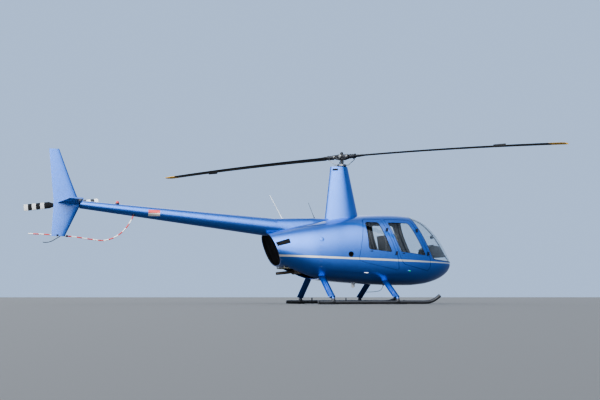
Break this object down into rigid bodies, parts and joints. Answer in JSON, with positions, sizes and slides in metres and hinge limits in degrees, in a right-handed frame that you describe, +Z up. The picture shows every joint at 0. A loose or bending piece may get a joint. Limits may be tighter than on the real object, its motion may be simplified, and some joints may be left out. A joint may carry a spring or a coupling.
{
  "type": "light helicopter",
  "caption": "Light piston helicopter on skids with a four-seat bubble cabin, main blades on a tall mast, a long tail boom, a side tail rotor and opening doors.",
  "frame": {"origin": "on the ground at the middle of the bounding box in plan, between the rotor tips", "axes": "+X forward to the nose, +Y to the aircraft left, +Z up; the mast stands at x = 1.742 m"},
  "size_m": [9.781, 8.137, 3.28],
  "materials": {
    "blue_paint": "glossy metallic blue paint with a thin cream stripe",
    "blue_gear_paint": "glossy metallic blue paint",
    "blue_tail_paint": "glossy metallic blue paint on light alloy",
    "skid_coating": "dark grey coating, worn at the shoes",
    "black_trim": "satin black",
    "black_plastic": "matt black with a fine grain",
    "cabin_trim": "grey textured trim",
    "seat_cover": "dark grey leather",
    "dark_steel": "dark machined steel",
    "bare_aluminium": "machined light alloy",
    "screen_black": "black wire mesh",
    "engine_grey": "cast grey metal",
    "exhaust_steel": "heat-stained steel",
    "blade_paint": "satin black with yellow tips",
    "guard_paint": "red and white bands",
    "tail_blade_paint": "black and white bands",
    "red_lens": "clear red lens",
    "green_lens": "clear green lens",
    "white_paint": "white gloss",
    "window_glass": "clear acrylic"
  },
  "bodies": {
    "airframe": {"aft_screen": "screen_black", "beacon": "red_lens", "belly_blade_aerial": "white_paint", "belly_cowl": "blue_paint", "belly_whip_aerial": "black_trim", "boom_fairing": "blue_paint", "cabin_bulkhead": "cabin_trim", "cabin_floor": "cabin_trim", "cabin_roof": "blue_paint", "cabin_tub": "blue_paint", "cyclic_stick": "black_plastic", "engine_block": "engine_grey", "exhaust_muffler": "exhaust_steel", "front_cross_tube": "blue_gear_paint", "horizontal_stabilizer": "blue_tail_paint", "instrument_console": "black_plastic", "left_centre_post": "blue_paint", "left_front_seat": "seat_cover", "left_position_light": "red_lens", "left_rear_seat": "seat_cover", "left_side_cowl": "blue_paint", "left_skid": "skid_coating", "left_windshield": "window_glass", "left_windshield_post": "blue_paint", "mast_fairing": "blue_paint", "mast_tube": "dark_steel", "radio_aerial": "white_paint", "rear_cross_tube": "blue_gear_paint", "right_centre_post": "blue_paint", "right_front_seat": "seat_cover", "right_position_light": "green_lens", "right_rear_seat": "seat_cover", "right_side_cowl": "blue_paint", "right_skid": "skid_coating", "right_windshield": "window_glass", "right_windshield_post": "blue_paint", "swashplate": "bare_aluminium", "tail_boom": "blue_tail_paint", "tail_gearbox": "dark_steel", "tail_rotor_guard": "guard_paint", "tail_skid": "skid_coating", "upper_cowl": "blue_paint", "vertical_fin": "blue_tail_paint", "whip_aerial": "black_trim", "windshield_centre_strip": "black_trim"},
    "main_rotor": {"main_blade_a": "blade_paint", "main_blade_b": "blade_paint", "pitch_links": "bare_aluminium", "rotor_hub": "bare_aluminium"},
    "tail_rotor": {"tail_blade_a": "tail_blade_paint", "tail_blade_b": "tail_blade_paint", "tail_rotor_hub": "bare_aluminium"},
    "right_front_door": {"right_front_door": "blue_paint", "right_front_door_window": "window_glass"},
    "right_rear_door": {"right_rear_door": "blue_paint", "right_rear_door_window": "window_glass"},
    "left_front_door": {"left_front_door": "blue_paint", "left_front_door_window": "window_glass"},
    "left_rear_door": {"left_rear_door": "blue_paint", "left_rear_door_window": "window_glass"}
  },
  "joints": [
    {"name": "main_rotor_spin", "type": "hinge", "parent": "airframe", "child": "main_rotor", "pos_m": [1.74211, 0, 3.17], "axis": [0, 0, 1], "continuous": true},
    {"name": "tail_rotor_spin", "type": "hinge", "parent": "airframe", "child": "tail_rotor", "pos_m": [-4.15089, 0.25, 1.99], "axis": [0, 1, 0], "continuous": true},
    {"name": "right_front_door_hinge", "type": "hinge", "parent": "airframe", "child": "right_front_door", "pos_m": [3.5287, -0.56697, 1.06], "axis": [-0.4414, 0.0827, 0.8935], "range_deg": [0, 80]},
    {"name": "left_front_door_hinge", "type": "hinge", "parent": "airframe", "child": "left_front_door", "pos_m": [3.5287, 0.56697, 1.06], "axis": [0.4414, 0.0827, -0.8935], "range_deg": [0, 80]},
    {"name": "right_rear_door_hinge", "type": "hinge", "parent": "airframe", "child": "right_rear_door", "pos_m": [2.74984, -0.65744, 1.06], "axis": [-0.344, 0.1527, 0.9265], "range_deg": [0, 80]},
    {"name": "left_rear_door_hinge", "type": "hinge", "parent": "airframe", "child": "left_rear_door", "pos_m": [2.74984, 0.65744, 1.06], "axis": [0.344, 0.1527, -0.9265], "range_deg": [0, 80]}
  ],
  "couplings": [
    {"joint": "tail_rotor_spin", "follows": "main_rotor_spin", "ratio": -5.95}
  ]
}
